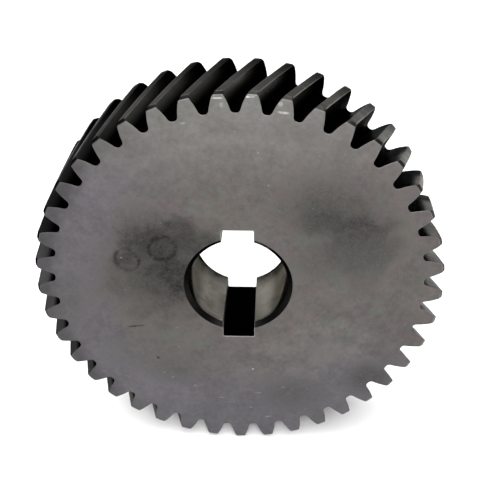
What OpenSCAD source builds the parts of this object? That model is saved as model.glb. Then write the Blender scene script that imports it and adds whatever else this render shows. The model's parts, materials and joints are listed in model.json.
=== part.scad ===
// Helical spur gear: one solid blank with hobbed teeth, a plain bore and two keyways.
// Units are millimetres and degrees. The bore axis lies along Y, halfway through the
// face width is y = 0, the front face looks towards -Y, and +Z is up.

/* [Teeth] */
// Number of teeth
teeth = 41; // [24:1:60]
// Normal module, measured square to the teeth
normal_module = 2.25; // [1.5:0.25:3]
// Helix angle at the pitch circle, right hand
helix_angle = 19.53; // [5:0.01:30]
// Normal pressure angle
pressure_angle = 20; // [17.5:0.5:22.5]

/* [Blank] */
// Width of the gear from face to face
face_width = 23.5; // [12:0.5:30]
// Bevel at both ends of the tooth tips
tip_chamfer = 0.7; // [0.2:0.1:1]

/* [Bore] */
// Diameter of the bore
bore_d = 25; // [20:1:28]
// Bevel at both ends of the bore
bore_chamfer = 1.2; // [0.4:0.1:1.5]

/* [Keyways] */
// Width of each keyway
keyway_width = 8; // [5:1:8]
// Depth of each keyway beyond the bore wall
keyway_depth = 3.3; // [1:0.1:3.5]
// Number of keyways, spaced evenly round the bore
keyways = 2; // [1:1:4]

/* [Hidden] */

// Standard full-depth proportions, as multiples of the normal module
addendum = 1 * normal_module;
dedendum = 1.25 * normal_module;
hob_tip_r = 0.38 * normal_module;

// Sizes in the plane of rotation
transverse_module = normal_module / cos(helix_angle);
transverse_angle = atan(tan(pressure_angle) / cos(helix_angle));
pitch_r = teeth * transverse_module / 2;
base_r = pitch_r * cos(transverse_angle);
tip_r = pitch_r + addendum;
root_r = pitch_r - dedendum;
bore_r = bore_d / 2;

// The helix turns clockwise as it leaves the front face
turn_per_mm = tan(helix_angle) / pitch_r * 180 / PI;
pitch_turn = 360 / teeth;
// How far the cutters run past the surfaces that they cut
overrun = 0.5;

// Centre of the rounded corner of the hob, from the middle of a tooth space
hob_y = hob_tip_r - dedendum;
hob_x = PI * transverse_module / 4 + hob_y * tan(transverse_angle)
    - hob_tip_r / cos(transverse_angle);

// Resolution of the tooth form
fillet_steps = 4;
flank_steps = 4;
helix_slices = 4;
$fn = 180;

function involute(angle) = tan(angle) * 180 / PI - angle;

// Angle from the middle of a tooth space to the flank at radius r
function flank_turn(r) =
    pitch_turn / 4 - involute(transverse_angle) + involute(acos(base_r / r));

// One side of a tooth space as [radius, angle]: the root fillet left by the hob corner
function fillet_point(a) =
    let (
        roll_x = hob_x + hob_y * tan(a),
        x = hob_tip_r * sin(a) - hob_y * tan(a),
        y = pitch_r + hob_y - hob_tip_r * cos(a)
    )
    [norm([x, y]), atan2(x, y) + roll_x / pitch_r * 180 / PI];

fillet_side = [for (i = [0 : fillet_steps]) fillet_point(i / fillet_steps * (90 - transverse_angle))];
fillet_end_r = fillet_side[fillet_steps][0];
// the involute flank runs from the fillet to just past the tip circle
flank_side = [
    for (i = [1 : flank_steps])
        let (r = fillet_end_r + i / flank_steps * (tip_r + overrun - fillet_end_r))
        [r, flank_turn(r)]
];
space_side = concat(fillet_side, flank_side);
side_points = len(space_side);

function at(r, turn) = [r * sin(turn), r * cos(turn)];

// Outline of the toothed wheel with a tooth space straight up, clockwise
tooth_outline = [
    for (i = [0 : teeth - 1])
        for (j = [-side_points + 1 : side_points])
            let (p = space_side[j > 0 ? j - 1 : -j])
            at(p[0], i * pitch_turn + (j > 0 ? p[1] : -p[1]))
];

// Toothed prism, twisted so that its tooth space is straight up at the front face
module helical_teeth() {
    length = face_width + 2 * overrun;
    rotate([0, 0, -turn_per_mm * (length - overrun)])
        linear_extrude(height = length, center = true, twist = -turn_per_mm * length,
                slices = helix_slices)
            polygon(tooth_outline);
}

// Turned blank with bevelled rims
module blank() {
    half = face_width / 2;
    rotate_extrude()
        polygon([
            [0, -half], [tip_r - tip_chamfer, -half], [tip_r, -half + tip_chamfer],
            [tip_r, half - tip_chamfer], [tip_r - tip_chamfer, half], [0, half]
        ]);
}

// Bore with a bevel at each end
module bore() {
    half = face_width / 2;
    rotate_extrude()
        polygon([
            [0, -half - overrun], [bore_r + bore_chamfer + overrun, -half - overrun],
            [bore_r, -half + bore_chamfer], [bore_r, half - bore_chamfer],
            [bore_r + bore_chamfer + overrun, half + overrun], [0, half + overrun]
        ]);
}

// Straight keyways through the whole width
module keyway_cuts() {
    for (i = [0 : keyways - 1])
        rotate([0, 0, i * 360 / keyways])
            translate([-keyway_width / 2, 0, -face_width / 2 - overrun])
                cube([keyway_width, bore_r + keyway_depth, face_width + 2 * overrun]);
}

module helical_gear() {
    color("slategray")
        rotate([90, 0, 0])
            difference() {
                intersection() {
                    blank();
                    helical_teeth();
                }
                bore();
                keyway_cuts();
            }
}

helical_gear();
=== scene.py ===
"""A solid helical gear of bare machined steel, standing on its rim on a pale studio floor.

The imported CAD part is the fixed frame. The gear shown here is cut from the same dimensions with
true involute flanks, hob fillets, bevelled ends and broken edges, and stands in the CAD node's
place. Lengths are millimetres until a mesh is made, and metres from there on. An angle called a
turn is measured about the bore axis, clockwise from straight up as seen from the front.
"""

import json
import math

import bmesh
import bpy
import numpy as np
from mathutils import Matrix, Vector
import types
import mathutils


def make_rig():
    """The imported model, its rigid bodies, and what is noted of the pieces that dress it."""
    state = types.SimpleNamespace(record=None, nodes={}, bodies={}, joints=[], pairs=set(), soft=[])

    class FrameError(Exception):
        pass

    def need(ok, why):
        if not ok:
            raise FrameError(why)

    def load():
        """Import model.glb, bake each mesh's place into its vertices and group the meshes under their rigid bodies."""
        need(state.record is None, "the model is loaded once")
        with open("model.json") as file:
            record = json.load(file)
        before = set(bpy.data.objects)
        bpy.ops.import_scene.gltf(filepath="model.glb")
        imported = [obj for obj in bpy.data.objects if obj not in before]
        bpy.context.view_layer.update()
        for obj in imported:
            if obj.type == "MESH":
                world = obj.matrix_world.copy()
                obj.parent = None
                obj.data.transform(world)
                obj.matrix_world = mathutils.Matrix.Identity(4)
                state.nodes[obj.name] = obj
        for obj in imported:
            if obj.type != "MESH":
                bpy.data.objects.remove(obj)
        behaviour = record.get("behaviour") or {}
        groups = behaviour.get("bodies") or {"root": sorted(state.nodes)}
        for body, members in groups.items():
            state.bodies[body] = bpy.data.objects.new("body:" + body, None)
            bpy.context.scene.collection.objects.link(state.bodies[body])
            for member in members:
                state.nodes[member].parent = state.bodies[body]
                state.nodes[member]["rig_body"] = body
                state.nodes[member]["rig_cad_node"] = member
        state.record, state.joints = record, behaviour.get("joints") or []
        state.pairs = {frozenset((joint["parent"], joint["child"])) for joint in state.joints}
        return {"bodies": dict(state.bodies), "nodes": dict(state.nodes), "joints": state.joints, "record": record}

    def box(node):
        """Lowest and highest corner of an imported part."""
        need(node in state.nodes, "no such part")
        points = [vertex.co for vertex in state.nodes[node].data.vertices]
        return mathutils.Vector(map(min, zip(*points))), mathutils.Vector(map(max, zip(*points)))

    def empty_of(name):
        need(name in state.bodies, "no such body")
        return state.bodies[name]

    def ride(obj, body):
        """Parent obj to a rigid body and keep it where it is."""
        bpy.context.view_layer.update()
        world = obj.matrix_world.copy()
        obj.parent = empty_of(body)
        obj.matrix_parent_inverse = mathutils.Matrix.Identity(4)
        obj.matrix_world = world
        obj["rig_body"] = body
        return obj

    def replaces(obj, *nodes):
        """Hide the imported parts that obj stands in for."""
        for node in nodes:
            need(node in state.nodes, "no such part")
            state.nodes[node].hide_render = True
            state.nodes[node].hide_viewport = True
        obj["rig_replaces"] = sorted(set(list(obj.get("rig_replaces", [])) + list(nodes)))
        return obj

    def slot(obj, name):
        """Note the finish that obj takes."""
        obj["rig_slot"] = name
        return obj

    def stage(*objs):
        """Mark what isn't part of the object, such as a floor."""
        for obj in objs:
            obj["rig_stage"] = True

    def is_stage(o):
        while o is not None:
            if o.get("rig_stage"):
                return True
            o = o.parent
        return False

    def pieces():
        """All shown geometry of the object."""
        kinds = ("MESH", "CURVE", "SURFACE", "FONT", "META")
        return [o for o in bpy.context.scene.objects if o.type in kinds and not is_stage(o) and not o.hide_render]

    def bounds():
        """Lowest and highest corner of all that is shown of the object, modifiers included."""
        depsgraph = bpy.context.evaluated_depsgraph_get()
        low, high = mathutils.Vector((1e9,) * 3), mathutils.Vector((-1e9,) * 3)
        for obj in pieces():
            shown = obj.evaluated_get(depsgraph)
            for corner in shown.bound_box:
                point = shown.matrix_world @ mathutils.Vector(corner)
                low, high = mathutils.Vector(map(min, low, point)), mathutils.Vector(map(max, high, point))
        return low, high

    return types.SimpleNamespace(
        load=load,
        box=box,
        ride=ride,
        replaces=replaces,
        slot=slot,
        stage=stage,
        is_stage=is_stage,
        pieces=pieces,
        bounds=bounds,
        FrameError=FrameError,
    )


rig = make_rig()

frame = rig.load()
cad_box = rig.bounds()

MM = 0.001
NODE = "helical_gear"

# ---------------------------------------------------------------- dimensions

low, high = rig.box(NODE)
FACE_WIDTH = (high[1] - low[1]) / MM
TIP_R = (high[2] - low[2]) / 2 / MM
HALF_WIDTH = FACE_WIDTH / 2
MOUNTS = {mount["name"]: mount for mount in frame["record"]["mounts"]}
BORE_R = MOUNTS["bore"]["dims"]["r_mm"]
BORE_BEVEL = (FACE_WIDTH - MOUNTS["bore"]["dims"]["length_mm"]) / 2
KEY_FLOOR = MOUNTS["upper_keyway"]["pos_m"][2] / MM
KEY_HALF = 4.0

TEETH = 41
NORMAL_MODULE = 2.25
HELIX = math.radians(19.53)
NORMAL_PRESSURE = math.radians(20)
DEDENDUM = 1.25 * NORMAL_MODULE
HOB_TIP_R = 0.38 * NORMAL_MODULE
TIP_BEVEL = 0.7

PITCH_TURN = 2 * math.pi / TEETH
MODULE = NORMAL_MODULE / math.cos(HELIX)
PRESSURE = math.atan(math.tan(NORMAL_PRESSURE) / math.cos(HELIX))
PITCH_R = TEETH * MODULE / 2
BASE_R = PITCH_R * math.cos(PRESSURE)
ROOT_R = PITCH_R - DEDENDUM
TURN_PER_MM = math.tan(HELIX) / PITCH_R

# Broken edges left by deburring
EDGE = 0.08  # round the end faces
TIP_CORNER = 0.25  # along the tooth tips
KEY_CORNER_R = 0.35  # in the bottoms of the keyways
KEY_LIP = 0.14  # where a keyway meets the bore
KEY_EDGE = 0.2  # round the mouths of the keyways

# ---------------------------------------------------------------- tooth form


def involute(angle):
    return math.tan(angle) - angle


def flank_turn(r):
    """Half the tooth's turn at radius r."""
    return PITCH_TURN / 4 + involute(PRESSURE) - involute(math.acos(BASE_R / r))


def fillet_side(steps):
    """The root fillet that the rounded hob corner leaves, as (radius, turn from the tooth's middle)."""
    hob_y = HOB_TIP_R - DEDENDUM
    hob_x = math.pi * MODULE / 4 + hob_y * math.tan(PRESSURE) - HOB_TIP_R / math.cos(PRESSURE)
    points = []
    for i in range(steps + 1):
        a = i / steps * (math.pi / 2 - PRESSURE)
        roll_x = hob_x + hob_y * math.tan(a)
        x = HOB_TIP_R * math.sin(a) - hob_y * math.tan(a)
        y = PITCH_R + hob_y - HOB_TIP_R * math.cos(a)
        turn_in_space = math.atan2(x, y) + roll_x / PITCH_R
        points.append((math.hypot(x, y), PITCH_TURN / 2 - turn_in_space))
    return points


def polar(r, turn):
    return np.array([r * math.sin(turn), r * math.cos(turn)])


def bend(start, corner, end, steps):
    """Points strictly inside a quadratic curve from start to end."""
    shares = [i / steps for i in range(1, steps)]
    return [(1 - t) ** 2 * start + 2 * t * (1 - t) * corner + t * t * end for t in shares]


FILLET_STEPS = 6
FLANK_STEPS = 9
CORNER_STEPS = 4
FILLET = fillet_side(FILLET_STEPS)


def half_tooth(top_r):
    """One side of a tooth cut off at radius top_r, from the root to the middle of its tip."""
    points = [polar(r, turn) for r, turn in FILLET]
    start_r = FILLET[-1][0]
    corner_r = top_r - TIP_CORNER
    for i in range(1, FLANK_STEPS + 1):
        r = start_r + i / FLANK_STEPS * (corner_r - start_r)
        points.append(polar(r, flank_turn(r)))
    tip_turn = flank_turn(top_r)
    land = polar(top_r, tip_turn - TIP_CORNER / top_r)
    points += bend(points[-1], polar(top_r, tip_turn), land, CORNER_STEPS)
    points.append(land)
    points.append(polar(top_r, 0.0))
    return points


HALF_COUNT = len(half_tooth(TIP_R))
TOOTH_COUNT = 2 * HALF_COUNT - 1


def spin(points, turn):
    """Turns (x, z) points clockwise as seen from the front."""
    c, s = math.cos(turn), math.sin(turn)
    return points @ np.array([[c, -s], [s, c]])


def inset(loop, distance):
    """Moves a closed clockwise loop of points inward, square to itself."""
    if not distance:
        return loop
    along = np.roll(loop, -1, axis=0) - np.roll(loop, 1, axis=0)
    along /= np.linalg.norm(along, axis=1)[:, None]
    return loop + distance * np.stack([along[:, 1], -along[:, 0]], axis=1)


def rim_radius(depth):
    """Outside radius at a depth below an end face, with the bevel's outer edge eased."""
    past = depth - (TIP_BEVEL - EDGE)
    if past <= 0:
        return TIP_R - TIP_BEVEL + depth
    if past >= 2 * EDGE:
        return TIP_R
    return TIP_R - EDGE + past - past * past / (4 * EDGE)


def tooth_loop(y, edge_inset):
    """The whole toothed outline at width position y."""
    right = np.array(half_tooth(rim_radius(HALF_WIDTH - abs(y))))
    left = right[:-1] * [-1, 1]
    tooth = np.vstack([left, right[::-1]])
    helix_turn = (y + HALF_WIDTH) * TURN_PER_MM
    teeth = [spin(tooth, (k + 0.5) * PITCH_TURN + helix_turn) for k in range(TEETH)]
    return inset(np.vstack(teeth), edge_inset)


# ---------------------------------------------------------------- bore form

ARC_STEPS = 26
KEY_STEPS = 4
LIP_STEPS = 3


def bore_loop(radius, gap):
    """The bore with both keyways, clockwise. gap opens the keyways for their broken edges."""
    half, floor = KEY_HALF + gap, KEY_FLOOR + gap
    lip_turn = math.asin((half + KEY_LIP) / radius)
    lip_top = math.sqrt(radius * radius - half * half) + KEY_LIP
    points = [np.array([x, floor]) for x in np.linspace(0, half - KEY_CORNER_R, KEY_STEPS)]
    centre = np.array([half - KEY_CORNER_R, floor - KEY_CORNER_R])
    for i in range(1, KEY_STEPS + 1):
        points.append(centre + KEY_CORNER_R * polar(1, i / KEY_STEPS * math.pi / 2))
    wall_end = np.array([half, lip_top])
    points.append((points[-1] + wall_end) / 2)
    points.append(wall_end)
    arc_start = polar(radius, lip_turn)
    points += bend(wall_end, np.array([half, lip_top - KEY_LIP]), arc_start, LIP_STEPS)
    points += [polar(radius, turn) for turn in np.linspace(lip_turn, math.pi / 2, ARC_STEPS)]
    quarter = np.array(points)
    lower = quarter[:-1][::-1] * [1, -1]
    right = np.vstack([quarter, lower])
    left = right[1:-1][::-1] * [-1, 1]
    return np.vstack([right, left])


KEY_POINTS = 2 * KEY_STEPS + 1 + LIP_STEPS  # points of a quarter loop before the bored arc


# ---------------------------------------------------------------- mesh

SURFACES = ["face", "flank", "land", "tip_bevel", "bore", "bore_bevel", "keyway", "edge"]
SLOT = {name: i for i, name in enumerate(SURFACES)}


class Skin:
    """Collects the points, faces and surface kinds of one closed mesh."""

    def __init__(self):
        self.points, self.faces, self.kinds = [], [], []

    def ring(self, loop, y):
        first = len(self.points)
        self.points += [(x, y, z) for x, z in loop]
        return list(range(first, first + len(loop)))

    def face(self, corners, kind):
        self.faces.append(tuple(corners))
        self.kinds.append(SLOT[kind])

    def band(self, a, b, kind_of):
        """Joins two rings with the same number of points."""
        count = len(a)
        for i in range(count):
            j = (i + 1) % count
            self.face((a[i], a[j], b[j], b[i]), kind_of(i))

    def turned(self, ring):
        """A flat ring from its smallest turn on, and its turns, with the first one repeated at the end."""
        turns = [math.atan2(self.points[i][0], self.points[i][2]) % (2 * math.pi) for i in ring]
        first = turns.index(min(turns))
        turns = turns[first:] + turns[:first]
        return ring[first:] + ring[:first], turns + [turns[0] + 2 * math.pi]

    def zip_rings(self, a, b, kind):
        """Joins two flat rings with different counts, both clockwise round the axis."""
        a, turns_a = self.turned(a)
        b, turns_b = self.turned(b)
        i = j = 0
        while i < len(a) or j < len(b):
            corner_a, corner_b = a[i % len(a)], b[j % len(b)]
            if j == len(b) or (i < len(a) and turns_a[i + 1] <= turns_b[j + 1]):
                i += 1
                self.face((corner_a, a[i % len(a)], corner_b), kind)
            else:
                j += 1
                self.face((corner_a, b[j % len(b)], corner_b), kind)


def flank_kind(index):
    """What surface the strip after this outline point belongs to, away from the ends."""
    i = index % TOOTH_COUNT
    from_root = min(i, TOOTH_COUNT - 2 - i)
    return "flank" if from_root < FILLET_STEPS + FLANK_STEPS else "land"


def end_levels():
    """Depths below an end face, with how far the outline is drawn in there."""
    rounded = EDGE * (1 - math.sqrt(0.5))
    levels = [(0.0, EDGE), (rounded, rounded), (EDGE, 0.0)]
    return levels + [(d, 0.0) for d in (TIP_BEVEL / 2, TIP_BEVEL - EDGE, TIP_BEVEL, TIP_BEVEL + EDGE)]


MIDDLE_STEPS = 12


def width_levels(levels, end_depth):
    """The same levels at both ends and even steps between them, front to back, as (y, value)."""
    front = [(-HALF_WIDTH + d, v) for d, v in levels]
    reach = HALF_WIDTH - end_depth
    steps = [-reach + 2 * reach * i / MIDDLE_STEPS for i in range(1, MIDDLE_STEPS)]
    return front + [(y, levels[-1][1]) for y in steps] + [(-y, v) for y, v in reversed(front)]


NEARLY = 0.99  # share of a depth that counts as all of it, because depths are rounded


def strips(levels, rings):
    """Each pair of neighbouring rings, with how deep below an end face the strip between them starts."""
    for (y0, _), (y1, _), a, b in zip(levels, levels[1:], rings, rings[1:]):
        yield a, b, HALF_WIDTH - max(abs(y0), abs(y1))


def add_rim(skin):
    """The toothed surface, bevels and broken edges; returns the first and last ring."""
    levels = width_levels(end_levels(), TIP_BEVEL + EDGE)
    rings = [skin.ring(tooth_loop(y, drawn_in), y) for y, drawn_in in levels]
    for a, b, depth in strips(levels, rings):
        if depth < EDGE * NEARLY:
            skin.band(a, b, lambda i: "edge")
        elif depth < TIP_BEVEL * NEARLY:
            skin.band(a, b, lambda i: "tip_bevel" if flank_kind(i) == "land" else "flank")
        else:
            skin.band(a, b, flank_kind)
    return rings[0], rings[-1]


def add_bore(skin):
    """The bore, its bevels and the keyways; returns the first and last ring."""
    end = [
        (0.0, (BORE_R + BORE_BEVEL, KEY_EDGE)),
        (EDGE, (BORE_R + BORE_BEVEL - EDGE, 0.0)),
        (BORE_BEVEL - EDGE, (BORE_R + EDGE, 0.0)),
        (BORE_BEVEL, (BORE_R + EDGE / 4, 0.0)),
        (BORE_BEVEL + EDGE, (BORE_R, 0.0)),
    ]
    levels = width_levels(end, BORE_BEVEL + EDGE)
    rings = [skin.ring(bore_loop(r, gap), y) for y, (r, gap) in levels]
    quarter = len(rings[0]) // 4
    for a, b, depth in strips(levels, rings):
        key_kind = "edge" if depth < EDGE * NEARLY else "keyway"
        wall_kind = "bore_bevel" if depth < BORE_BEVEL * NEARLY else "bore"

        def kind_of(i):
            place = i % (2 * quarter)
            from_key = min(place, 2 * quarter - 1 - place)
            if from_key < KEY_POINTS - LIP_STEPS:
                return key_kind
            return "edge" if from_key < KEY_POINTS else wall_kind

        skin.band(a, b, kind_of)
    return rings[0], rings[-1]


# How far inside the roots and outside the keyways the plain rings of an end face lie
OUTER_MARGIN = 2.0
INNER_MARGIN = 3.0


def add_face(skin, rim, bore):
    """One flat end face, from the toothed outline to the bore."""
    bases = []
    for k in range(TEETH):
        tooth = rim[k * TOOTH_COUNT:(k + 1) * TOOTH_COUNT]
        for i in range(HALF_COUNT - 1):
            corners = [tooth[i], tooth[i + 1], tooth[-2 - i], tooth[-1 - i]]
            if i == HALF_COUNT - 2:
                corners = [tooth[i], tooth[i + 1], tooth[-1 - i]]
            skin.face(corners, "face")
        bases += [tooth[0], tooth[-1]]
    y = skin.points[rim[0]][1]
    turns = np.arange(2 * TEETH) / (2 * TEETH) * 2 * math.pi
    outer = skin.ring([polar(ROOT_R - OUTER_MARGIN, t) for t in turns], y)
    inner = skin.ring([polar(KEY_FLOOR + INNER_MARGIN, t) for t in turns], y)
    skin.zip_rings(bases, outer, "face")
    skin.band(outer, inner, lambda i: "face")
    skin.zip_rings(inner, bore, "face")


SMOOTH_LIMIT = math.radians(24)


def make_gear(materials):
    """The whole gear as one closed mesh."""
    skin = Skin()
    rim_front, rim_back = add_rim(skin)
    bore_front, bore_back = add_bore(skin)
    add_face(skin, rim_front, bore_front)
    add_face(skin, rim_back, bore_back)
    mesh = bpy.data.meshes.new("steel_gear")
    mesh.from_pydata([tuple(MM * c for c in p) for p in skin.points], [], skin.faces)
    mesh.polygons.foreach_set("material_index", skin.kinds)
    for name in SURFACES:
        mesh.materials.append(materials[name])
    gear = bpy.data.objects.new("steel_gear", mesh)
    bpy.context.collection.objects.link(gear)
    work = bmesh.new()
    work.from_mesh(mesh)
    bmesh.ops.recalc_face_normals(work, faces=work.faces)
    work.to_mesh(mesh)
    work.free()
    mesh.set_sharp_from_angle(angle=SMOOTH_LIMIT)
    flat = {SLOT["face"], SLOT["edge"]}
    mesh.polygons.foreach_set("use_smooth", [k not in flat for k in skin.kinds])
    return gear


# ---------------------------------------------------------------- materials


STEEL_TONE = 0.77  # how bright all the steel is, beside the colors written for its surfaces


class Finish:
    """One material's nodes, made by short calls that return the output to use next.

    Lengths in here are millimetres. Any value may be a number, a tuple or another node's output.
    """

    def __init__(self, name, metallic=1.0):
        self.material = bpy.data.materials.new(name)
        self.material.use_nodes = True
        self.nodes = self.material.node_tree.nodes
        self.links = self.material.node_tree.links
        self.shader = self.nodes["Principled BSDF"]
        self.shader.inputs["Metallic"].default_value = metallic
        place = self.nodes.new("ShaderNodeTexCoord").outputs["Object"]
        self.place = self.vector("SCALE", place, scale=1 / MM)
        split = self.nodes.new("ShaderNodeSeparateXYZ")
        self.put(self.place, split.inputs[0])
        self.x, self.y, self.z = split.outputs
        self.radius = self.length(self.x, self.z)

    def put(self, value, socket):
        if isinstance(value, bpy.types.NodeSocket):
            self.links.new(value, socket)
        else:
            socket.default_value = value

    def math(self, operation, *values):
        node = self.nodes.new("ShaderNodeMath")
        node.operation = operation
        for value, socket in zip(values, node.inputs):
            self.put(value, socket)
        return node.outputs[0]

    def times(self, first, second):
        return self.math("MULTIPLY", first, second)

    def plus(self, first, second):
        return self.math("ADD", first, second)

    def line(self, value, slope, start):
        """The value times slope, plus start."""
        return self.math("MULTIPLY_ADD", value, slope, start)

    def less(self, value, amount, share):
        """The value, less that share of itself where amount is 1, and whole where amount is 0."""
        return self.times(value, self.line(amount, -share, 1))

    def from_middle(self, value, middle):
        """How far the value is from middle, either way."""
        return self.math("ABSOLUTE", self.math("SUBTRACT", value, middle))

    def length(self, first, second):
        """The length of a vector with these two parts."""
        return self.math("SQRT", self.plus(self.times(first, first), self.times(second, second)))

    def vector(self, operation, *values, scale=None):
        node = self.nodes.new("ShaderNodeVectorMath")
        node.operation = operation
        for value, socket in zip(values, node.inputs):
            self.put(value, socket)
        if scale is not None:
            self.put(scale, node.inputs["Scale"])
        return node.outputs["Vector"]

    def fade(self, value, start, end):
        """0 at start and 1 at end, smooth between them."""
        node = self.nodes.new("ShaderNodeMapRange")
        node.interpolation_type = "SMOOTHSTEP"
        for item, socket in zip((value, start, end), node.inputs):
            self.put(item, socket)
        return node.outputs[0]

    def spot(self, size, shift):
        """The place in units of size millimetres, moved by shift."""
        return self.vector("MULTIPLY_ADD", self.place, (1 / size, 1 / size, 1 / size), shift)

    def noise_node(self, detail, rough):
        node = self.nodes.new("ShaderNodeTexNoise")
        for name, value in {"Scale": 1.0, "Detail": detail, "Roughness": rough}.items():
            self.put(value, node.inputs[name])
        return node

    def noise(self, size, detail=3.0, rough=0.5, warp=0.0, seed=0.0):
        """Noise from 0 to 1 whose blobs are about size millimetres across."""
        node = self.noise_node(detail, rough)
        self.put(warp, node.inputs["Distortion"])
        self.put(self.spot(size, (seed, 2 * seed, -seed)), node.inputs["Vector"])
        return node.outputs[0]

    def lines(self, along, size):
        """Fine machining lines: noise that changes only with the value along."""
        node = self.noise_node(3.0, 0.6)
        node.noise_dimensions = "1D"
        self.put(self.times(along, 1 / size), node.inputs["W"])
        return node.outputs[0]

    def specks(self, cell, size, share, seed):
        """1 on small scattered spots, at most one in each cell, and 0 elsewhere."""
        node = self.nodes.new("ShaderNodeTexVoronoi")
        self.put(self.spot(cell, (seed, seed, seed)), node.inputs["Vector"])
        self.put(1.0, node.inputs["Scale"])
        pick = self.nodes.new("ShaderNodeSeparateColor")
        self.put(node.outputs["Color"], pick.inputs[0])
        chosen = self.math("GREATER_THAN", pick.outputs[0], 1 - share)
        return self.times(chosen, self.fade(node.outputs["Distance"], size / cell, 0.3 * size / cell))

    def streaks(self, width, length, share, seed):
        """1 on short scratches that run round the bore axis."""
        turn = self.math("ARCTAN2", self.x, self.z)
        join = self.nodes.new("ShaderNodeCombineXYZ")
        self.put(self.times(self.radius, 1 / width), join.inputs[0])
        self.put(self.times(turn, PITCH_R / length), join.inputs[1])
        join.inputs[2].default_value = seed
        node = self.noise_node(1.0, 0.5)
        self.put(join.outputs[0], node.inputs["Vector"])
        return self.fade(node.outputs[0], 1 - share, 1 - share + 0.08)

    def distance(self, x, z, width=1.0, height=1.0):
        """Distance from a point of the end faces; width and height above 1 make it an ellipse."""
        dx = self.times(self.math("SUBTRACT", self.x, x), 1 / width)
        dz = self.times(self.math("SUBTRACT", self.z, z), 1 / height)
        return self.length(dx, dz)

    def mark(self, x, z, length, width, tilt):
        """1 on a small oval of the end faces, tilted by so many degrees from level, and 0 elsewhere."""
        c, s = math.cos(math.radians(tilt)), math.sin(math.radians(tilt))
        dx = self.math("SUBTRACT", self.x, x)
        dz = self.math("SUBTRACT", self.z, z)
        along = self.plus(self.times(dx, 2 * c / length), self.times(dz, 2 * s / length))
        across = self.plus(self.times(dx, -2 * s / width), self.times(dz, 2 * c / width))
        return self.fade(self.plus(self.times(along, along), self.times(across, across)), 1.6, 0.0)

    def mix(self, amount, first, second):
        node = self.nodes.new("ShaderNodeMix")
        node.data_type = "RGBA"
        colors = [i for i in node.inputs if i.type == "RGBA"]
        self.put(amount, node.inputs[0])
        self.put(self.rgba(first), colors[0])
        self.put(self.rgba(second), colors[1])
        return [o for o in node.outputs if o.type == "RGBA"][0]

    def scaled(self, color, share):
        return self.vector("SCALE", color, scale=share)

    def shade(self, color, amount, strength):
        """Darkens a color where amount is 1, to 1 - strength of itself, or brightens it if strength < 0."""
        return self.scaled(color, self.line(amount, -strength, 1))

    @staticmethod
    def rgba(color):
        return (*color, 1.0) if isinstance(color, tuple) else color

    def done(self, color, roughness, height, depth, glancing=1.0):
        """Joins the finish to the shader. The bump is depth millimetres high where height is 1.
        What the metal mirrors at a low angle is scaled by glancing, which is lowered on dark steel and where shade is
        painted."""
        if self.shader.inputs["Metallic"].default_value:
            color = self.scaled(color, STEEL_TONE)
        if isinstance(glancing, float):
            glancing = (glancing, glancing, glancing, 1)
        self.put(glancing, self.shader.inputs["Specular Tint"])
        self.put(color, self.shader.inputs["Base Color"])
        self.put(roughness, self.shader.inputs["Roughness"])
        bump = self.nodes.new("ShaderNodeBump")
        bump.inputs["Distance"].default_value = depth * MM
        self.put(height, bump.inputs["Height"])
        self.put(bump.outputs[0], self.shader.inputs["Normal"])
        return self.material


# The front face's own marks and its painted glints, in millimetres to the right of the bore axis and above it
STAINS = [  # x, z, half width, half height, darkening
    (-15.5, 12.5, 13.0, 6.5, 0.68),
    (-22.0, 12.5, 9.5, 9.0, 0.54),
    (-22.5, 2.0, 13.0, 13.0, 0.43),
    (-15.5, 2.0, 10.5, 12.5, 0.60),
    (-28.0, 7.3, 3.6, 3.6, 0.46),
    (-10.0, 12.0, 8.0, 5.0, 0.36),
    (-24.0, -20.0, 12.0, 8.0, 0.12),
    (-44.0, -5.0, 6.0, 9.0, 0.14),
    (22.5, 18.5, 11.0, 5.0, 0.44),
    (22.0, 21.5, 13.0, 9.0, 0.34),
    (29.5, 14.0, 10.0, 8.5, 0.46),
    (24.0, 9.0, 12.0, 8.0, 0.24),
    (31.0, 6.0, 5.0, 8.0, 0.22),
    (22.0, -21.0, 14.0, 9.0, -0.18),
    (-16.0, -27.5, 7.0, 4.5, 0.16),
    (34.0, -29.0, 7.0, 6.0, 0.34),
    (14.0, -35.0, 9.0, 6.0, 0.18),
]
TEST_RINGS = [(-27.6, 7.3, 2.9, 0.52), (-18.7, 10.6, 3.2, 0.5)]  # x, z, radius, darkening
MARKS_AND_GLINTS = [  # x, z, length, width, tilt in degrees, darkening
    (-28.9, 7.8, 0.8, 0.5, -20, -2.6),
    (-18.7, 10.9, 0.7, 0.7, 0, 0.5),
    (-26.8, -13.0, 4.6, 0.6, 6, 0.95),
    (-31.0, -14.8, 4.0, 0.5, 25, 0.14),
    (-21.6, -23.3, 1.2, 0.7, -35, 0.85),
    (-20.3, -28.3, 0.7, 0.4, 0, -0.9),
    (-18.0, -29.8, 1.0, 0.4, 10, -0.8),
    (3.6, -26.6, 0.6, 0.5, 0, -2.0),
    (4.9, -34.8, 1.8, 0.35, 5, -1.1),
    (-5.1, -36.7, 2.0, 0.3, 0, -0.7),
    (-12.0, -32.6, 1.0, 0.35, 0, -1.0),
    (11.7, -32.7, 1.2, 0.6, 0, -0.8),
    (-2.6, -38.2, 2.6, 0.3, 0, -0.6),
    (3.0, -40.0, 0.8, 0.4, 0, -0.8),
    (7.9, -43.2, 2.2, 0.4, 8, -1.0),
    # Painted highlights: glints on the front corners of the top teeth
    (-4.2, 49.6, 3.0, 0.4, 0, -2.6),
    (-3.0, 48.0, 0.9, 1.3, 0, -0.8),
    (3.1, 49.9, 2.4, 0.4, 0, -2.8),
    (10.0, 48.3, 1.2, 1.4, 20, -1.2),
    (10.8, 46.2, 2.6, 0.7, -8, -1.9),
    (-11.9, 43.6, 1.6, 0.6, 0, -0.6),
]
GRINDING_ARC_R = 39.7
FACE_GRAIN_DEPTH = 0.003


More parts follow.
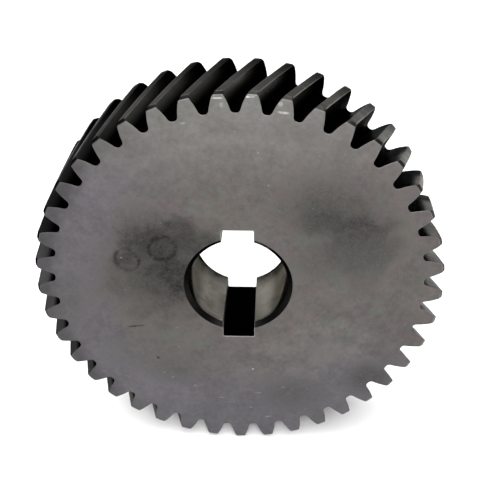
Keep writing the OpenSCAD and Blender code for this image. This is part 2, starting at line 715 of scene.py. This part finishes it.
def face_tints(f, coarse):
    """The color of a ground face before its marks: warm and cool patches, paler and bluer towards the bottom, and a
    painted highlight towards the top.
    """
    tint = f.fade(f.noise(15, 3, 0.55, seed=3.1), 0.35, 0.65)
    color = f.mix(tint, (0.131, 0.117, 0.115), (0.134, 0.124, 0.114))
    color = f.mix(f.fade(f.noise(4.0, 4, 0.6, seed=12.0), 0.5, 0.7), color, (0.140, 0.119, 0.118))
    color = f.mix(f.fade(f.noise(5.0, 4, 0.6, seed=15.0), 0.52, 0.7), color, (0.130, 0.131, 0.119))
    rim = f.fade(f.line(coarse, 5.0, f.radius), 29, 44)
    rim = f.times(rim, f.fade(f.plus(f.x, f.z), 36, -8))
    color = f.mix(rim, color, (0.130, 0.122, 0.132))
    color = f.mix(f.fade(f.z, -14, -46), color, (0.150, 0.142, 0.154))
    # Painted highlight: the top of the face paler, as if lit from above in front.
    return f.mix(f.fade(f.z, 24, 52), color, (0.182, 0.177, 0.168))


def face_marks(f, color, coarse, fine, speckle):
    """The color with the front face's stains, test rings and small marks, and the painted glints on the top teeth."""
    on_front = f.fade(f.y, 0.5 - HALF_WIDTH, 0.2 - HALF_WIDTH)
    ragged = f.plus(f.line(coarse, 0.6, -0.36), f.line(fine, 0.3, -0.15))
    grain = f.line(fine, 0.3, f.line(speckle, 0.3, 0.7))
    for x, z, width, height, darkening in STAINS:
        reach = f.plus(f.distance(x, z, width, height), ragged)
        stain = f.times(f.fade(reach, 1.25, 0.15), on_front)
        color = f.mix(f.times(stain, 0.4), color, (0.121, 0.119, 0.112))
        color = f.shade(color, f.times(stain, grain), darkening)
    patchy = f.fade(f.noise(2.2, 3, 0.7, seed=21.0), 0.36, 0.6)
    for x, z, radius, darkening in TEST_RINGS:
        off = f.from_middle(f.distance(x, z), f.line(coarse, 0.7, radius - 0.35))
        ring = f.times(f.fade(off, 0.9, 0.1), on_front)
        color = f.shade(color, f.times(ring, f.line(patchy, 0.8, 0.25)), darkening)
    speckled = f.times(f.line(speckle, 0.8, 0.3), on_front)
    # Small marks, and the painted glints on the top teeth
    for x, z, length, width, tilt, darkening in MARKS_AND_GLINTS:
        color = f.shade(color, f.times(f.mark(x, z, length, width, tilt), speckled), darkening)
    return color


def face_wear(f, color, coarse, turned):
    """The color with a grinding arc, turning lines, short scratches and bright and dark specks."""
    arc = f.fade(f.from_middle(f.radius, GRINDING_ARC_R), 2.6, 0.1)
    arc = f.times(f.times(arc, coarse), f.fade(f.z, 12, 36))
    color = f.shade(color, f.times(arc, f.fade(f.x, 24, 6)), -0.24)
    color = f.shade(color, turned, 0.10)
    color = f.shade(color, f.streaks(0.25, 1.8, 0.3, 4.0), -0.45)
    color = f.shade(color, f.streaks(0.2, 2.4, 0.28, 9.0), 0.2)
    color = f.shade(color, f.specks(2.6, 0.22, 0.2, 6.0), -1.0)
    return f.shade(color, f.specks(3.1, 0.25, 0.2, 1.0), 0.4)


def face_steel():
    """Ground end faces: grey steel mottled by handling, with stains, test rings and scratches, a painted highlight at
    the top, painted glints on the top teeth and painted shade on the left teeth.
    """
    f = Finish("face_steel")
    coarse = f.fade(f.noise(6.0, 5, 0.6, seed=5.3), 0.3, 0.7)
    fine = f.fade(f.noise(1.3, 5, 0.65, seed=8.2), 0.3, 0.7)
    speckle = f.fade(f.noise(0.6, 4, 0.7, seed=2.9), 0.35, 0.65)
    turned = f.lines(f.radius, 0.35)
    color = f.shade(f.shade(face_tints(f, coarse), coarse, 0.14), fine, 0.16)
    # Painted shade: the teeth on the left darker, where less light falls.
    left_teeth_shade = f.times(f.fade(f.radius, 44, 49.5), f.fade(f.x, -20, -42))
    color = f.shade(color, left_teeth_shade, 0.36)
    color = face_marks(f, color, coarse, fine, speckle)
    color = face_wear(f, color, coarse, turned)
    rough = f.line(coarse, 0.10, f.line(speckle, 0.05, 0.38))
    height = f.plus(f.times(turned, 0.6), f.times(speckle, 0.4))
    return f.done(color, rough, height, FACE_GRAIN_DEPTH)


TOOL_LINE_DEPTH = 0.0015


def cut_steel(name, color, rough, along, line_size, tone=0.08):
    """Machined steel with fine tool lines across the direction along, and faint stains.

    Returns the finish, its color, and the other things that Finish.done needs.
    """
    f = Finish(name)
    lines = f.lines(getattr(f, along), line_size)
    blot = f.fade(f.noise(4.0, 5, 0.6, 0.3, seed=2.2), 0.42, 0.68)
    fine = f.noise(0.6, 4, 0.65, seed=7.7)
    tinted = f.mix(lines, tuple(c * (1 - tone) for c in color), tuple(c * (1 + tone) for c in color))
    tinted = f.shade(f.shade(tinted, blot, 0.3), fine, 0.2)
    return f, tinted, (f.line(blot, 0.1, rough), lines, TOOL_LINE_DEPTH)


def land_steel():
    """Tooth tips: turned steel, with painted shade towards the back end and on the left, and painted light on the
    right.
    """
    f, color, cut = cut_steel("land_steel", (0.245, 0.238, 0.222), 0.34, "y", 0.1, tone=0.05)
    # Painted shade towards the back and on the left, painted light on the right.
    color = f.shade(color, f.fade(f.y, -6, 11), 0.85)
    color = f.shade(color, f.fade(f.x, -12, -40), 0.88)
    color = f.shade(color, f.fade(f.x, -12, 4), -0.5)
    return f.done(color, *cut, glancing=0.4)


def flank_steel():
    """Hobbed flanks with painted shade: black in the roots, on the upper teeth, towards the back and on the left, and
    lighter near the tips and on the lower teeth.
    """
    f, color, cut = cut_steel("flank_steel", (0.176, 0.17, 0.161), 0.42, "y", 0.5)
    helix_turn = f.times(f.plus(f.y, HALF_WIDTH), TURN_PER_MM)
    turn = f.math("SUBTRACT", f.math("ARCTAN2", f.x, f.z), helix_turn)
    across_tooth = f.math("FRACT", f.line(turn, 1 / PITCH_TURN, TEETH))
    clockwise_side = f.math("GREATER_THAN", across_tooth, 0.5)
    # Painted shade: the flanks black where light doesn't reach them, less so on the lower clockwise flanks and near
    # the tips.
    lower = f.fade(f.z, 40, -14)
    painted_shade_cw = f.less(f.fade(f.radius, TIP_R, PITCH_R - 0.8), lower, 1)
    painted_shade_line = f.line(f.fade(f.z, 4, 28), 2.8, ROOT_R)
    painted_shade_line = f.line(f.fade(f.z, 30, 41), 2.0, painted_shade_line)
    painted_shade_ccw = f.fade(f.radius, f.plus(painted_shade_line, 2.0), painted_shade_line)
    painted_shade = f.plus(f.times(clockwise_side, painted_shade_cw), f.less(painted_shade_ccw, clockwise_side, 1))
    painted_shade_back = f.times(f.fade(f.z, 0, 25), f.fade(f.y, -4, 8))
    brightness = f.less(f.line(painted_shade, -0.98, 1), painted_shade_back, 0.96)
    # Painted shade on the upper left and on the clockwise flanks to the right.
    left_shoulder_shade = f.times(f.fade(f.x, -12, -34), f.fade(f.z, 2, 16))
    right_shoulder_shade = f.times(clockwise_side, f.fade(f.x, 2, 20))
    brightness = f.less(brightness, left_shoulder_shade, 0.88)
    brightness = f.less(brightness, right_shoulder_shade, 0.85)
    # Painted shade: darker roots, and a darker grey on the left.
    left = f.fade(f.x, -10, -40)
    root = f.times(f.fade(f.radius, ROOT_R + 2.6, ROOT_R + 0.9), left)
    brightness = f.less(brightness, root, 0.95)
    color = f.scaled(f.mix(left, color, (0.08, 0.08, 0.08)), brightness)
    # Painted reflection: less grazing reflection on the far left, more on the right.
    share = f.line(f.fade(f.x, -28, -46), -0.24, f.line(f.fade(f.x, 6, 40), 0.15, 0.4))
    return f.done(color, *cut, glancing=f.times(brightness, share))


def bore_steel():
    """Bored wall, warm grey, with painted light at the bottom and on the upper right, painted shade towards the top,
    the back, the right and by the front bevel, and a ragged dark band near the back end.
    """
    f, color, cut = cut_steel("bore_steel", (0.190, 0.179, 0.158), 0.38, "y", 0.15)
    ragged = f.line(f.noise(2.0, 5, 0.7, 0.4, seed=6.1), 9.0, f.y)
    # Painted light at the bottom and on the upper right wall, painted shade towards the back.
    color = f.shade(color, f.fade(f.z, -6, -12), -3.0)
    color = f.shade(color, f.times(f.fade(f.z, -9.5, -11.5), f.fade(f.x, 4, -4)), -0.7)
    color = f.shade(color, f.times(f.fade(f.z, -8.5, -5.5), f.fade(f.x, 5, 11)), -1.6)
    color = f.shade(color, f.fade(f.y, 2, 10), 0.6)
    # A ragged dark band near the back end.
    brightness = f.line(f.fade(ragged, HALF_WIDTH + 0.5, HALF_WIDTH + 5), -0.85, 1)
    # Painted shade towards the top, by the front bevel and on the right.
    brightness = f.less(brightness, f.fade(f.z, -3, 6), 0.7)
    up = f.line(f.x, 0.12, f.z)
    reach = f.line(f.fade(up, -8.5, 1), 11, 2.5)
    from_front = f.math("DIVIDE", f.plus(f.y, HALF_WIDTH), reach)
    front_bevel_shade = f.times(f.fade(from_front, 1.1, 0.3), f.fade(up, -10.5, -6.5))
    brightness = f.less(brightness, front_bevel_shade, 0.85)
    brightness = f.less(brightness, f.fade(f.x, 3, 12), 0.4)
    color = f.scaled(color, brightness)
    return f.done(color, *cut, glancing=f.times(brightness, 0.35))


def bore_bevel_steel():
    """Bevels at the ends of the bore, nearly black."""
    f, color, cut = cut_steel("bore_bevel_steel", (0.014, 0.0135, 0.013), 0.34, "radius", 0.1)
    return f.done(color, *cut, glancing=0.1)


def tip_bevel_steel():
    """Bevels at the ends of the tooth tips, with painted shade on the left."""
    f, color, cut = cut_steel("tip_bevel_steel", (0.06, 0.057, 0.054), 0.36, "radius", 0.1)
    # Painted shade: darker on the left, where less light falls.
    left = f.fade(f.x, 14, -6)
    return f.done(f.shade(color, left, 0.75), *cut, glancing=f.line(left, -0.75, 1))


def edge_steel():
    """Broken edges, a little brighter than the faces, with painted shade on the left."""
    f, color, cut = cut_steel("edge_steel", (0.21, 0.203, 0.193), 0.42, "radius", 0.3)
    # Painted shade: darker on the left.
    return f.done(f.shade(color, f.fade(f.x, -12, -34), 0.5), *cut)


def keyway_steel():
    """Broached keyways: grey side walls, and a floor painted near-black as shade."""
    f, color, cut = cut_steel("keyway_steel", (0.12, 0.115, 0.105), 0.34, "x", 0.2)
    # Painted shade: the keyway floors near-black, as if in deep shadow.
    floor = f.fade(f.math("ABSOLUTE", f.z), KEY_FLOOR - 0.5, KEY_FLOOR - 0.2)
    return f.done(f.shade(color, floor, 0.985), *cut, glancing=0.3)


MATERIALS = {
    "face": face_steel(),
    "flank": flank_steel(),
    "land": land_steel(),
    "tip_bevel": tip_bevel_steel(),
    "bore": bore_steel(),
    "bore_bevel": bore_bevel_steel(),
    "keyway": keyway_steel(),
    "edge": edge_steel(),
}

gear = make_gear(MATERIALS)
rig.ride(gear, "root")
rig.replaces(gear, NODE)
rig.slot(gear, frame["record"]["materials"][0]["slot"])

# ---------------------------------------------------------------- studio


FLOOR_SIZE = 2.6
HORIZON = (1.3, 1.3, 1.3, 1)
HORIZON_END = math.radians(2)
OVERHEAD = (0.02, 0.02, 0.02, 1)
OVERHEAD_START = math.radians(18)


def make_floor():
    """Pale paper under the gear's lowest teeth."""
    f = Finish("floor_paper", metallic=0.0)
    tone = f.noise(60, 2)
    bpy.ops.mesh.primitive_plane_add(size=FLOOR_SIZE, location=(0, 0, low[2]))
    floor = bpy.context.object
    floor.name = "floor"
    color = f.mix(tone, (0.9, 0.9, 0.9), (0.92, 0.92, 0.92))
    floor.data.materials.append(f.done(color, 0.9, f.noise(2, 2), 0.01))
    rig.stage(floor)


def make_world():
    """Pale near the horizon and dark overhead, so that upward faces of the steel stay dark."""
    world = bpy.data.worlds.new("studio")
    bpy.context.scene.world = world
    world.use_nodes = True
    nodes, links = world.node_tree.nodes, world.node_tree.links
    place = nodes.new("ShaderNodeTexCoord").outputs["Generated"]
    split = nodes.new("ShaderNodeSeparateXYZ")
    links.new(place, split.inputs[0])
    height = nodes.new("ShaderNodeMapRange")
    height.interpolation_type = "SMOOTHSTEP"
    links.new(split.outputs["Z"], height.inputs["Value"])
    height.inputs["From Min"].default_value = math.sin(HORIZON_END)
    height.inputs["From Max"].default_value = math.sin(OVERHEAD_START)
    shade = nodes.new("ShaderNodeMix")
    shade.data_type = "RGBA"
    colors = [i for i in shade.inputs if i.type == "RGBA"]
    links.new(height.outputs[0], shade.inputs[0])
    colors[0].default_value = HORIZON
    colors[1].default_value = OVERHEAD
    links.new([o for o in shade.outputs if o.type == "RGBA"][0], nodes["Background"].inputs["Color"])


def softbox(name, place, size, power):
    """A square area light that faces the gear."""
    data = bpy.data.lights.new(name, "AREA")
    data.size = size
    data.energy = power
    light = bpy.data.objects.new(name, data)
    light.location = place
    light.rotation_euler = (-Vector(place)).to_track_quat("-Z", "Y").to_euler()
    bpy.context.collection.objects.link(light)


make_floor()
make_world()
softbox("overhead", (0, -0.2, 1.5), 2.2, 57)
softbox("front", (0.1, -1.4, 0.8), 1.1, 31)
softbox("left", (-1.1, 0.6, 1.0), 1.3, 8)
bpy.context.scene.view_settings.view_transform = "Standard"

# ---------------------------------------------------------------- camera

ELEVATION = math.radians(31.76)
AZIMUTH = math.radians(2.99)
ROLL = math.radians(-0.89)
DISTANCE = 0.2281
FOCAL_PER_FRAME = 1.7377
SHIFT = (0.0197, 0.0218)


def make_camera():
    """The camera, aimed at the middle of the gear, rolled and shifted."""
    back = Vector((math.sin(AZIMUTH) * math.cos(ELEVATION), -math.cos(AZIMUTH) * math.cos(ELEVATION),
                   math.sin(ELEVATION)))
    right = Vector((math.cos(AZIMUTH), math.sin(AZIMUTH), 0))
    up = right.cross(-back)
    tilted_right = math.cos(ROLL) * right + math.sin(ROLL) * up
    tilted_up = math.cos(ROLL) * up - math.sin(ROLL) * right
    data = bpy.data.cameras.new("camera")
    data.sensor_width = 36
    data.lens = FOCAL_PER_FRAME * data.sensor_width
    data.shift_x, data.shift_y = SHIFT
    data.clip_start = 0.01
    camera = bpy.data.objects.new("camera", data)
    camera.matrix_world = Matrix.Translation(DISTANCE * back) @ Matrix(
        (tilted_right, tilted_up, back)).transposed().to_4x4()
    bpy.context.collection.objects.link(camera)
    bpy.context.scene.camera = camera


make_camera()

with open("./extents.json", "w") as out:
    plain = lambda box: [[float(c) for c in corner] for corner in box]
    json.dump([plain(cad_box), plain(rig.bounds())], out)
